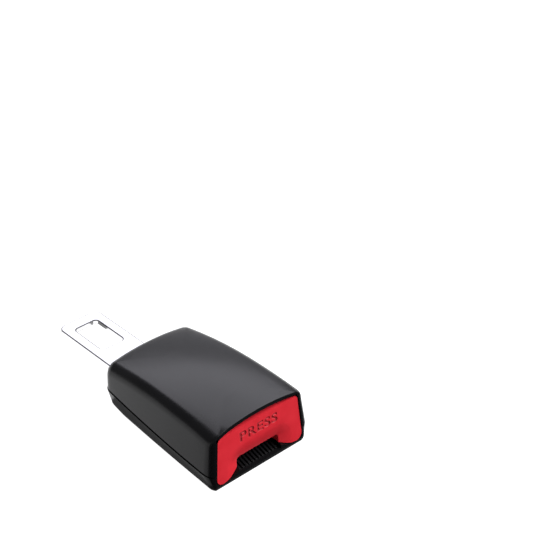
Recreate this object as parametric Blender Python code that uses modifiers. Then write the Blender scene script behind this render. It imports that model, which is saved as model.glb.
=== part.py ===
"""Rigid seat belt extender: a short buckle with its own steel tongue riveted in at the back.

The part lies on its flat underside. +Z is up, -Y is the end with the red button and the slot,
and +Y is the tongue. Lengths are in metres. Places along Y are measured from the front lip,
and an empty named datum moves them all, so that the part's middle is over the origin.
"""

import math

import bmesh
import bpy
from mathutils import Matrix, Vector

MM = 0.001

# Clearances
SEAT_GAP = 0.3 * MM
SLIDE_GAP = 0.35 * MM

# Moulded housing, outside
HOUSING_LENGTH = 73.5 * MM
HALF_WIDTH_FRONT = 27.0 * MM
HALF_WIDTH_REAR = 22.9 * MM
SIDE_BOW = 0.4 * MM
FLARE_FRONT = 2.3 * MM
FLARE_REAR = 0.5 * MM
FLARE_HEIGHT = 15.0 * MM
CROWN_HEIGHT = 29.6 * MM
CROWN_PEAK_Y = 28.0 * MM
CROWN_FALL_FRONT = 1.2 * MM
CROWN_FALL_REAR = 5.2 * MM
CROWN_FALL_SIDE = 2.0 * MM
CROWN_SIDE_X = 20.0 * MM
TOP_FILLET = 4.5 * MM
FRONT_CORNER_DEPTH = 4.2 * MM
FRONT_EDGE_ROUND = 0.4 * MM
FRONT_RAKE = 0.06
RAKE_FADE_Y = 24.0 * MM
REAR_CORNER = 5.0 * MM
RIM_LAND = 0.35 * MM

# Moulded housing, walls and parting line
WALL = 1.6 * MM
FRONT_WALL = 2.0 * MM
SEAM_FRONT = 7.4 * MM
SEAM_SIDE = 8.8 * MM
SEAM_DIP_Y = 5.0 * MM
SEAM_RISE = 2.4 * MM
SEAM_OPENING = 0.7 * MM
SEAM_STEP = 0.25 * MM
LIP_CLEARANCE = 0.3 * MM
LIP_THICKNESS = 1.0 * MM
LIP_HEIGHT = 1.2 * MM
FLOOR = 1.7 * MM
HULL_TAPER = 1.3 * MM
FRONT_LIP_SETBACK = 0.25 * MM
BOTTOM_FILLET = 3.6 * MM
FRONT_BOTTOM_ROUND = 1.3 * MM
REAR_RISE_Y = 60.0 * MM
REAR_RISE = 2.4 * MM

# Red button
BUTTON_HALF_WIDTH = 21.1 * MM
BUTTON_FLARE = 1.4 * MM
BUTTON_TOP = 24.4 * MM
BUTTON_TOP_FALL = 0.3 * MM
VISOR_RISE = 1.8 * MM
BUTTON_BOTTOM = 2.3 * MM
BUTTON_TOP_CORNER = 1.3 * MM
BUTTON_BOTTOM_CORNER = 3.0 * MM
BUTTON_RECESS = 0.4 * MM
BUTTON_DEPTH = 10.0 * MM
BUTTON_WALL = 1.6 * MM
BUTTON_FACE = 2.4 * MM
BUTTON_TRAVEL = 6.0 * MM
BUTTON_EDGE = 0.6 * MM
NOTCH_TOP = 9.6 * MM
NOTCH_HALF_WIDTH = 11.2 * MM
NOTCH_CORNER = 1.6 * MM
LOBE_CUT_X = 19.2 * MM
LOBE_CUT_Z = 5.4 * MM
LOBE_CUT_BULGE = 0.5 * MM
SCOOP_REACH = 6.6 * MM
SCOOP_DEPTH = 1.5 * MM
SCOOP_STEPS = 5

# Tongue
OVERALL_LENGTH = 124.0 * MM
TONGUE_WIDTH = 21.5 * MM
TONGUE_GAUGE = 2.2 * MM
TONGUE_TOP = 8.75 * MM
TONGUE_TIP_CORNER = 3.8 * MM
TONGUE_EDGE = 0.4 * MM
TONGUE_TAIL_Y = 58.5 * MM
TONGUE_WINDOW_LENGTH = 21.0 * MM
TONGUE_WINDOW_WIDTH = 12.2 * MM
TONGUE_WINDOW_CORNER = 2.0 * MM
TONGUE_TIP_BAR = 6.1 * MM

# Steel latch frame
FRAME_GAUGE = 2.0 * MM
FRAME_INNER_HALF = 11.75 * MM
FRAME_FRONT = 10.6 * MM
FRAME_REAR = 69.5 * MM
FRAME_BEND = 2.6 * MM
CHEEK_FRONT = 24.0 * MM
CHEEK_REAR = 56.0 * MM
CHEEK_SHOULDER = 18.4 * MM
CHEEK_TOP = 24.2 * MM
NOSE_WINDOW_FRONT = 20.5 * MM
NOSE_WINDOW_REAR = 30.0 * MM
SPRING_SLOT_REAR = 57.0 * MM
SPRING_FINGER_LENGTH = 2.6 * MM
SPRING_FINGER_WIDTH = 2.0 * MM

# Latch
PIVOT_Y = 50.0 * MM
PIVOT_Z = 14.2 * MM
PIVOT_RADIUS = 2.0 * MM
PIVOT_RUNNING_GAP = 0.15 * MM
PIVOT_HEAD_RADIUS = 2.8 * MM
PIVOT_HEAD_THICKNESS = 1.0 * MM
PIVOT_GROOVE_DEPTH = 0.4 * MM
CLIP_THICKNESS = 0.7 * MM
BARREL_RADIUS = 3.6 * MM
LATCH_ARM_GAUGE = 2.6 * MM
LATCH_EDGE = 0.25 * MM
LATCH_ARM_TOP = 14.0 * MM
LATCH_ARM_HALF = 6.2 * MM
NOSE_HALF_WIDTH = 5.0 * MM
NOSE_FRONT = 22.6 * MM
NOSE_LENGTH = 5.2 * MM
NOSE_BOTTOM = 4.7 * MM
EAR_Y = 41.5 * MM
EAR_RADIUS = 1.4 * MM
EAR_REACH = 16.2 * MM
LATCH_LIFT_DEGREES = 12.5

# Lock bar
LOCK_BAR_Y = 30.0 * MM
LOCK_BAR_RADIUS = 1.75 * MM
LOCK_BAR_RISE = 4.0 * MM
LOCK_BAR_HALF_LENGTH = 17.2 * MM
LOCK_SLOT_GAP = 0.25 * MM

# Ejector
EJECTOR_TIP_Y = 19.0 * MM
EJECTOR_BODY_FRONT = 30.8 * MM
EJECTOR_BODY_REAR = 36.0 * MM
EJECTOR_HALF_WIDTH = 10.6 * MM
EJECTOR_ARM_INNER = 6.0 * MM
EJECTOR_KEEL_HALF = 2.4 * MM
EJECTOR_KEEL_BOTTOM = 3.0 * MM
EJECTOR_PEG_LENGTH = 2.0 * MM

# Springs
SPRING_RADIUS = 2.25 * MM
SPRING_WIRE = 0.5 * MM
SPRING_END_EASING = 0.55
EJECTOR_SPRING_TURNS = 8
BUTTON_SPRING_TURNS = 8
BUTTON_SPRING_X = 9.2 * MM
BUTTON_SPRING_Z = 19.6 * MM
LATCH_SPRING_WIRE = 0.7 * MM
LATCH_SPRING_TURNS = 3
LATCH_SPRING_X = 6.9 * MM
LATCH_SPRING_LEG = 8.5 * MM

# Button arms
ARM_INNER = 14.1 * MM
ARM_THICKNESS = 2.3 * MM
ARM_TOP = 23.6 * MM
ARM_BOTTOM = 8.2 * MM
ARM_REAR_WALL = 1.3 * MM

# Rivets
RIVET_X = 6.0 * MM
RIVET_Y = 62.5 * MM
RIVET_SHANK = 2.0 * MM
RIVET_HEAD = 3.4 * MM
RIVET_HEAD_THICKNESS = 0.8 * MM
WASHER_RADIUS = 3.9 * MM
WASHER_THICKNESS = 0.8 * MM

# Moulded detail inside the covers
RAMP_RIB_COUNT = 12
RAMP_RIB_WIDTH = 0.9 * MM
RAMP_LIP = 3.0 * MM
RAMP_REAR = 10.2 * MM
RAMP_RIB_HEIGHT = 0.7 * MM
FLOOR_RIB_X = 8.5 * MM
FLOOR_RIB_WIDTH = 1.6 * MM
FLOOR_RIB_FRONT = 14.0 * MM
FLOOR_RIB_REAR = 58.0 * MM
PEG_RADIUS = 1.5 * MM
PEG_FRONT_Y = 18.0 * MM
PEG_REAR_Y = 53.0 * MM
SPRING_SEAT_THICKNESS = 1.6 * MM
GUIDE_RAIL_THICKNESS = 1.4 * MM
GUIDE_RAIL_FRONT = 17.5 * MM
GUIDE_RAIL_REAR = 44.0 * MM
GUIDE_RAIL_BOTTOM = 13.0 * MM
HOOK_WIDTH = 6.0 * MM
HOOK_THICKNESS = 1.3 * MM
HOOK_RISE = 4.4 * MM
CATCH_REACH = 1.6 * MM
CATCH_HEIGHT = 1.0 * MM
HOOK_FRONT_Y = 24.0 * MM
HOOK_REAR_Y = 58.0 * MM

# Facets
EDGE_STEPS = 4
CORNER_STEPS = 4
SIDE_STEPS = 9
REAR_CORNER_STEPS = 5
FILLET_STEPS = 4
ROUND_SEGMENTS = 20
HOLE_STEPS = 24
COIL_STEPS = 8

# Sizes that follow from those above
FRAME_TOP = TONGUE_TOP - TONGUE_GAUGE - SEAT_GAP
FRAME_BOTTOM = FRAME_TOP - FRAME_GAUGE
FRAME_OUTER_HALF = FRAME_INNER_HALF + FRAME_GAUGE
LOCK_BAR_Z = LATCH_ARM_TOP + SEAT_GAP + LOCK_BAR_RADIUS
SPRING_AXIS_Z = (FRAME_TOP + FRAME_BOTTOM) / 2
BORE_DEPTH = BUTTON_DEPTH + BUTTON_TRAVEL + SLIDE_GAP
ARM_OUTER = ARM_INNER + ARM_THICKNESS
ROOT_BOTTOM = NOTCH_TOP + BUTTON_WALL
EAR_Z = LATCH_ARM_TOP - LATCH_ARM_GAUGE / 2
KEEL_FRONT = (EJECTOR_BODY_FRONT + EJECTOR_BODY_REAR - WALL) / 2


def clear_scene():
    for item in list(bpy.data.objects):
        bpy.data.objects.remove(item, do_unlink=True)


def make_collection(name):
    collection = bpy.data.collections.new(name)
    bpy.context.scene.collection.children.link(collection)
    return collection


def make_material(name, colour, roughness, metallic):
    material = bpy.data.materials.new(name)
    material.use_nodes = True
    shader = material.node_tree.nodes["Principled BSDF"]
    shader.inputs["Base Color"].default_value = (*colour, 1.0)
    shader.inputs["Roughness"].default_value = roughness
    shader.inputs["Metallic"].default_value = metallic
    material.diffuse_color = (*colour, 1.0)
    return material


# Shaping tools


def add_object(name, mesh):
    item = bpy.data.objects.new(name, mesh)
    PARTS.objects.link(item)
    item.parent = DATUM
    return item


def mesh_from(name, build):
    """A closed mesh from a function that fills a bmesh, with its faces turned out."""
    work = bmesh.new()
    build(work)
    bmesh.ops.recalc_face_normals(work, faces=work.faces[:])
    mesh = bpy.data.meshes.new(name)
    work.to_mesh(mesh)
    work.free()
    return mesh


def whole_cap(work, row):
    work.faces.new(row)


def spine_cap(height):
    """A cap for a ring of the housing: strips from both sides to points on the middle plane."""

    def fill(work, row):
        last = len(row) // 2
        first = EDGE_STEPS + 1
        spine = {}
        for i in range(first, last - first + 1):
            y = row[i].co.y
            spine[i] = work.verts.new((0.0, y, height(0.0, y)))
        for i in range(first, last - first):
            work.faces.new((row[i], row[i + 1], spine[i + 1], spine[i]))
            work.faces.new((row[-i], spine[i], spine[i + 1], row[-i - 1]))
        for i in range(-first, first):
            work.faces.new((row[i], row[i + 1], spine[first]))
        for i in range(last - first, last + first):
            work.faces.new((row[i], row[i + 1], spine[last - first]))

    return fill


def loft(name, rings, first_cap=whole_cap, last_cap=whole_cap):
    """A closed solid through rings of equally many points, capped at both ends."""

    def build(work):
        rows = [[work.verts.new(point) for point in ring] for ring in rings]
        count = len(rows[0])
        for near, far in zip(rows, rows[1:]):
            for i in range(count):
                j = (i + 1) % count
                work.faces.new((near[i], near[j], far[j], far[i]))
        first_cap(work, rows[0])
        last_cap(work, rows[-1])

    return add_object(name, mesh_from(name, build))


def block(name, low, high):
    """A box between two corners."""
    size = Vector(high) - Vector(low)
    middle = (Vector(high) + Vector(low)) / 2
    matrix = Matrix.Translation(middle) @ Matrix.Diagonal((*size, 1.0))

    def build(work):
        bmesh.ops.create_cube(work, size=1.0, matrix=matrix)

    return add_object(name, mesh_from(name, build))


AXIS_TURN = {
    "x": Matrix.Rotation(math.pi / 2, 4, "Y"),
    "y": Matrix.Rotation(-math.pi / 2, 4, "X"),
    "z": Matrix.Identity(4),
}


def rod(name, axis, start, length, radius, end_radius=None, segments=ROUND_SEGMENTS):
    """A round bar or cone that starts at a point and runs along one axis."""
    turn = AXIS_TURN[axis]
    middle = Vector(start) + turn @ Vector((0, 0, length / 2))
    far_radius = radius if end_radius is None else end_radius

    def build(work):
        bmesh.ops.create_cone(
            work, cap_ends=True, segments=segments, radius1=radius, radius2=far_radius,
            depth=length, matrix=Matrix.Translation(middle) @ turn)

    return add_object(name, mesh_from(name, build))


PLANE_TURN = {
    "plan": Matrix.Identity(4),
    "front": Matrix.Rotation(math.pi / 2, 4, "X"),
    "side": Matrix(((0, 0, 1, 0), (1, 0, 0, 0), (0, 1, 0, 0), (0, 0, 0, 1))),
}
PLANE_NORMAL = {"plan": Vector((0, 0, 1)), "front": Vector((0, 1, 0)), "side": Vector((1, 0, 0))}


def plate(name, plane, outlines, start, end):
    """A flat outline, with any holes after it, given thickness from start to end across its plane."""
    curve = bpy.data.curves.new(name, "CURVE")
    curve.dimensions = "2D"
    curve.fill_mode = "BOTH"
    curve.extrude = (end - start) / 2
    for outline in outlines:
        spline = curve.splines.new("POLY")
        spline.points.add(len(outline) - 1)
        for point, (u, v) in zip(spline.points, outline):
            point.co = (u, v, 0.0, 1.0)
        spline.use_cyclic_u = True
    drawn = bpy.data.objects.new(name + "_outline", curve)
    PARTS.objects.link(drawn)
    graph = bpy.context.evaluated_depsgraph_get()
    mesh = bpy.data.meshes.new_from_object(drawn.evaluated_get(graph))
    bpy.data.objects.remove(drawn, do_unlink=True)
    work = bmesh.new()
    work.from_mesh(mesh)
    bmesh.ops.remove_doubles(work, verts=work.verts[:], dist=0.001 * MM)
    move = Matrix.Translation(PLANE_NORMAL[plane] * (start + end) / 2) @ PLANE_TURN[plane]
    bmesh.ops.transform(work, matrix=move, verts=work.verts[:])
    bmesh.ops.recalc_face_normals(work, faces=work.faces[:])
    work.to_mesh(mesh)
    work.free()
    mesh.name = name
    mesh.materials.clear()
    return add_object(name, mesh)


def apply_modifier(item, kind, **settings):
    modifier = item.modifiers.new(kind.title(), kind)
    for key, value in settings.items():
        setattr(modifier, key, value)
    graph = bpy.context.evaluated_depsgraph_get()
    mesh = bpy.data.meshes.new_from_object(item.evaluated_get(graph))
    item.modifiers.clear()
    item.data = mesh


def combine(item, tools, operation):
    """Cuts tools from an object or joins them to it, one after another, and removes them."""
    for tool in tools:
        apply_modifier(item, "BOOLEAN", object=tool, operation=operation, solver="EXACT")
        bpy.data.objects.remove(tool, do_unlink=True)
    return item


def cut(item, *tools):
    return combine(item, tools, "DIFFERENCE")


def join(item, *tools):
    return combine(item, tools, "UNION")


def round_edges(item, width, segments=1, angle=40):
    apply_modifier(item, "BEVEL", width=width, segments=segments, limit_method="ANGLE",
                   angle_limit=math.radians(angle))
    return item


def finish(item, material, origin=None):
    """Gives the object its material, smooth shading and, for a moving piece, its own origin."""
    item.data.materials.clear()
    item.data.materials.append(material)
    if origin is not None:
        item.data.transform(Matrix.Translation(-Vector(origin)))
        item.location = origin
    item.data.shade_smooth()
    item.data.set_sharp_from_angle(angle=math.radians(35))
    return item


def arc(centre, radius, start, end, steps, squash=1.0):
    """Points round a centre from one angle to another, in degrees, both ends included."""
    points = []
    for i in range(steps + 1):
        angle = math.radians(start + (end - start) * i / steps)
        points.append((centre[0] + radius * math.cos(angle),
                       centre[1] + radius * squash * math.sin(angle)))
    return points


def round_hole(centre, radius):
    """A full circle's outline."""
    step = 360 / HOLE_STEPS
    return arc(centre, radius, 0, 360 - step, HOLE_STEPS - 1)


def bulged(start, end, bulge, steps):
    """Points on a shallow arch from start to end, which stands out to the right of the way there."""
    way = Vector(end) - Vector(start)
    side = Vector((way.y, -way.x)).normalized()
    points = []
    for i in range(steps + 1):
        share = i / steps
        points.append(tuple(Vector(start) + way * share + side * bulge * 4 * share * (1 - share)))
    return points


def rounded_rectangle(low, high, radius, steps=3):
    """An outline between two corners, with round corners."""
    (u0, v0), (u1, v1) = low, high
    return (arc((u1 - radius, v1 - radius), radius, 0, 90, steps)
            + arc((u0 + radius, v1 - radius), radius, 90, 180, steps)
            + arc((u0 + radius, v0 + radius), radius, 180, 270, steps)
            + arc((u1 - radius, v0 + radius), radius, 270, 360, steps))


def stadium(start, end, radius, steps=8):
    """An outline of a slot with round ends between two centres."""
    lean = math.degrees(math.atan2(end[1] - start[1], end[0] - start[0]))
    return (arc(end, radius, lean - 90, lean + 90, steps)
            + arc(start, radius, lean + 90, lean + 270, steps))


def offset(outline, distance):
    """The outline moved outwards along its normals; it runs anticlockwise."""
    moved = []
    count = len(outline)
    for i in range(count):
        before = Vector(outline[i]) - Vector(outline[i - 1])
        after = Vector(outline[(i + 1) % count]) - Vector(outline[i])
        before.normalize()
        after.normalize()
        normal_before = Vector((before.y, -before.x))
        normal_after = Vector((after.y, -after.x))
        mitre = (normal_before + normal_after).normalized()
        reach = distance / max(mitre.dot(normal_after), 0.5)
        moved.append(tuple(Vector(outline[i]) + mitre * reach))
    return moved


def mirrored(outline):
    """The same outline on the other side of the middle plane, still anticlockwise."""
    return [(-u, v) for u, v in reversed(outline)]


def both_sides(make):
    """Calls a function once for each side of the middle plane, left first."""
    return [make(side) for side in (-1, 1)]


def side_block(name, side, inner, outer, y_range, z_range):
    """A box on one side of the middle plane, between two distances from it."""
    x0, x1 = sorted((side * inner, side * outer))
    return block(name, (x0, y_range[0], z_range[0]), (x1, y_range[1], z_range[1]))


# Form of the housing


def housing_half_width(y, z):
    """Distance from the middle plane to the side wall: it narrows to the rear and leans in upwards."""
    share = y / HOUSING_LENGTH
    straight = HALF_WIDTH_FRONT + (HALF_WIDTH_REAR - HALF_WIDTH_FRONT) * share
    flare = FLARE_FRONT + (FLARE_REAR - FLARE_FRONT) * share
    bow = SIDE_BOW * 4 * share * (1 - share)
    return straight + bow - flare * (z - SEAM_FRONT) / FLARE_HEIGHT


def crown(x, y):
    """Height of the top skin, highest at one third of the length."""
    if y < CROWN_PEAK_Y:
        fall = CROWN_FALL_FRONT * (1 - y / CROWN_PEAK_Y) ** 2
    else:
        fall = CROWN_FALL_REAR * ((y - CROWN_PEAK_Y) / (HOUSING_LENGTH - CROWN_PEAK_Y)) ** 2
    return CROWN_HEIGHT - fall - CROWN_FALL_SIDE * (x / CROWN_SIDE_X) ** 2


def seam(y):
    """Height of the parting line: it dips round the front corners and rises to the rear."""
    dip = (SEAM_SIDE - SEAM_FRONT) * max(0.0, 1 - y / SEAM_DIP_Y) ** 2
    return SEAM_SIDE - dip + SEAM_RISE * (y / HOUSING_LENGTH) ** 2


def underside(y):
    """Height of the bottom skin: flat, then turned up at the rear."""
    if y < REAR_RISE_Y:
        return 0.0
    return REAR_RISE * ((y - REAR_RISE_Y) / (HOUSING_LENGTH - REAR_RISE_Y)) ** 2


def rake(y, z):
    """How far the front leans back above the upper cover's lip; it fades out behind the front."""
    above_lip = z - SEAM_FRONT - SEAM_OPENING / 2
    return FRONT_RAKE * above_lip * max(0.0, 1 - y / RAKE_FADE_Y)


def button_half_width(z):
    """The button's sides flare downwards like the housing's."""
    top = BUTTON_TOP - BUTTON_TOP_FALL
    return BUTTON_HALF_WIDTH + BUTTON_FLARE * (top - z) / (top - SEAM_FRONT)


def housing_ring(height, level, inset=0.0, front_inset=0.0):
    """One closed ring of the housing's plan outline, moved in by an inset.

    height gives a point's height from its x and y, and level is the height at which the
    housing's width is taken, from y.
    """
    rear_y = HOUSING_LENGTH - inset
    land = button_half_width(level(0)) + SLIDE_GAP + RIM_LAND
    depth = max(FRONT_CORNER_DEPTH - inset, 2 * SEAT_GAP)
    corner_y = front_inset + depth
    corner_x = housing_half_width(corner_y, level(corner_y)) - inset
    reach = max(corner_x + inset - land - inset, 2 * SEAT_GAP)
    front_x = corner_x - reach
    rear_corner = max(REAR_CORNER - inset, 2 * SEAT_GAP)
    rear_side_y = rear_y - rear_corner
    rear_x = housing_half_width(rear_side_y, level(rear_side_y)) - inset
    half = [(front_x * i / EDGE_STEPS, front_inset) for i in range(EDGE_STEPS)]
    half += arc((front_x, corner_y), reach, -90, 0, CORNER_STEPS, squash=depth / reach)
    for i in range(1, SIDE_STEPS):
        y = corner_y + (rear_side_y - corner_y) * i / SIDE_STEPS
        half.append((housing_half_width(y, level(y)) - inset, y))
    half += arc((rear_x - rear_corner, rear_side_y), rear_corner, 0, 90, REAR_CORNER_STEPS)
    inner_x = rear_x - rear_corner
    half += [(inner_x * (1 - i / EDGE_STEPS), rear_y) for i in range(1, EDGE_STEPS + 1)]
    whole = half + [(-x, y) for x, y in reversed(half[1:-1])]
    ring = []
    for x, y in whole:
        z = height(x, y)
        ring.append((x, y + rake(y, z), z))
    return ring


def button_outline(rise=0.0):
    """The button seen from the front: flared sides, the slot's notch and a top that arches by a rise."""
    top_edge = BUTTON_TOP - BUTTON_TOP_FALL
    corner_x = BUTTON_HALF_WIDTH - BUTTON_TOP_CORNER
    bottom_x = button_half_width(BUTTON_BOTTOM + BUTTON_BOTTOM_CORNER) - BUTTON_BOTTOM_CORNER
    right = arc((NOTCH_HALF_WIDTH - NOTCH_CORNER, NOTCH_TOP - NOTCH_CORNER), NOTCH_CORNER, 90, 0, 3)
    right += bulged((NOTCH_HALF_WIDTH, LOBE_CUT_Z), (LOBE_CUT_X, BUTTON_BOTTOM), LOBE_CUT_BULGE, 4)
    right += arc((bottom_x, BUTTON_BOTTOM + BUTTON_BOTTOM_CORNER), BUTTON_BOTTOM_CORNER, -90, 0, 5)
    right += arc((corner_x, top_edge - BUTTON_TOP_CORNER), BUTTON_TOP_CORNER, 0, 75, 3)
    for share in (0.75, 0.5, 0.25):
        right.append((corner_x * share, BUTTON_TOP + rise - (BUTTON_TOP_FALL + rise) * share ** 2))
    return right + [(0.0, BUTTON_TOP + rise)] + mirrored(right)


def scoop(name):
    """A funnel round the notch that leads the mating tongue in, as a cutting tool."""
    corner = (NOTCH_HALF_WIDTH - NOTCH_CORNER, NOTCH_TOP - NOTCH_CORNER)
    right = [(NOTCH_HALF_WIDTH, -WALL)] + arc(corner, NOTCH_CORNER, 0, 90, 4)
    outline = right + mirrored(right)
    rings = []
    for i in range(-1, SCOOP_STEPS + 1):
        share = i / SCOOP_STEPS
        depth = SCOOP_DEPTH * share * abs(share) ** 0.5
        spread = offset(outline, SCOOP_REACH * (1 - share))
        rings.append([(x, BUTTON_RECESS + rake(0.0, z) + depth, z) for x, z in spread])
    return loft(name, rings)


def slot_mouth(rear_y):
    """The space between the button's lobes that the mating tongue enters, as a cutting tool."""
    return block("mouth_tool", (-NOTCH_HALF_WIDTH, -WALL, RAMP_LIP),
                 (NOTCH_HALF_WIDTH, rear_y, NOTCH_TOP + WALL))


def button_bore(name, clearance):
    """The space that the button slides in, arched at the top, as a tool for cutting both covers."""
    front = -FRONT_CORNER_DEPTH
    return plate(name, "front", [offset(button_outline(VISOR_RISE), clearance)], front, BORE_DEPTH)


# Pieces


def make_upper_cover(material):
    def shoulder(y):
        return crown(CROWN_SIDE_X, y) - TOP_FILLET

    def top(x, y):
        return crown(x, y)

    def ceiling(x, y):
        return crown(x, y) - WALL

    def rim(x, y):
        return seam(y) + SEAM_OPENING / 2

    def fillet_ring(radius, base, angle):
        drop = TOP_FILLET - radius * math.sin(angle)
        inset = base + radius * (1 - math.cos(angle))
        front = max(base - WALL, 0.0) + (FRONT_WALL if base else FRONT_EDGE_ROUND * (1 - math.cos(angle)))
        return housing_ring(lambda x, y: crown(x, y) - drop, shoulder, inset, front)

    rings = []
    for extra in (14 * MM, 8 * MM, 3.5 * MM):
        rings.append(housing_ring(top, shoulder, TOP_FILLET + extra, FRONT_EDGE_ROUND + extra))
    for i in range(FILLET_STEPS + 1):
        rings.append(fillet_ring(TOP_FILLET, 0.0, math.pi / 2 * (1 - i / FILLET_STEPS)))
    rings.append(housing_ring(rim, seam))
    rings.append(housing_ring(rim, seam, WALL, FRONT_WALL))
    for i in range(3):
        rings.append(fillet_ring(TOP_FILLET - WALL, WALL, math.pi / 4 * i))
    for extra in (5 * MM, 14 * MM):
        rings.append(housing_ring(ceiling, shoulder, TOP_FILLET + extra, FRONT_WALL + extra))
    cover = loft("upper_cover", rings, spine_cap(top), spine_cap(ceiling))

    seat_rear = CHEEK_FRONT + SPRING_SEAT_THICKNESS
    seat_low = BUTTON_SPRING_Z - SPRING_RADIUS - SPRING_WIRE
    for side in (-1, 1):
        join(cover, side_block("spring_seat", side, LATCH_ARM_HALF + 2 * SEAT_GAP,
                               FRAME_INNER_HALF - 2 * SEAT_GAP, (CHEEK_FRONT, seat_rear),
                               (seat_low, crown(FRAME_INNER_HALF, seat_rear) - WALL / 2)))
        rail_inner = LOCK_BAR_HALF_LENGTH + SLIDE_GAP
        join(cover, side_block("guide_rail", side, rail_inner, rail_inner + GUIDE_RAIL_THICKNESS,
                               (GUIDE_RAIL_FRONT, GUIDE_RAIL_REAR),
                               (GUIDE_RAIL_BOTTOM, crown(rail_inner, GUIDE_RAIL_REAR) - WALL / 2)))
    cut(cover, button_bore("bore_tool", SLIDE_GAP), slot_mouth(FRAME_FRONT))
    for side in (-1, 1):
        for y in (HOOK_FRONT_Y, HOOK_REAR_Y):
            join(cover, hook_catch(side, y))
    return finish(cover, material)


def hook_root(y):
    """Distance from the middle plane to the outer face of a snap hook's stem."""
    return housing_half_width(y + HOOK_WIDTH / 2, seam(y)) - WALL - CATCH_REACH - SLIDE_GAP


def hook_catch(side, y):
    """The ledge inside the upper cover's wall that a snap hook springs over."""
    low = seam(y + HOOK_WIDTH / 2) + LIP_HEIGHT + SEAT_GAP
    inner = hook_root(y) + SLIDE_GAP
    outer = inner + CATCH_REACH + WALL / 3
    return side_block("catch", side, inner, outer, (y - HOOK_WIDTH / 2, y + HOOK_WIDTH / 2),
                      (low, low + CATCH_HEIGHT))


def snap_hook(side, y):
    """A stem that stands on the floor beside the wall, with a nose over the ledge."""
    root = hook_root(y)
    nose_low = seam(y + HOOK_WIDTH / 2) + LIP_HEIGHT + CATCH_HEIGHT + 2 * SEAT_GAP
    top = seam(y) + HOOK_RISE
    nose = root + CATCH_REACH / 2
    outline = [
        (root - HOOK_THICKNESS, FLOOR / 2), (root, FLOOR / 2),
        (root, nose_low), (nose, nose_low), (nose, nose_low + SEAT_GAP),
        (root, top), (root - HOOK_THICKNESS, top),
    ]
    if side < 0:
        outline = mirrored(outline)
    return plate("hook", "front", [outline], y - HOOK_WIDTH / 2, y + HOOK_WIDTH / 2)


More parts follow.
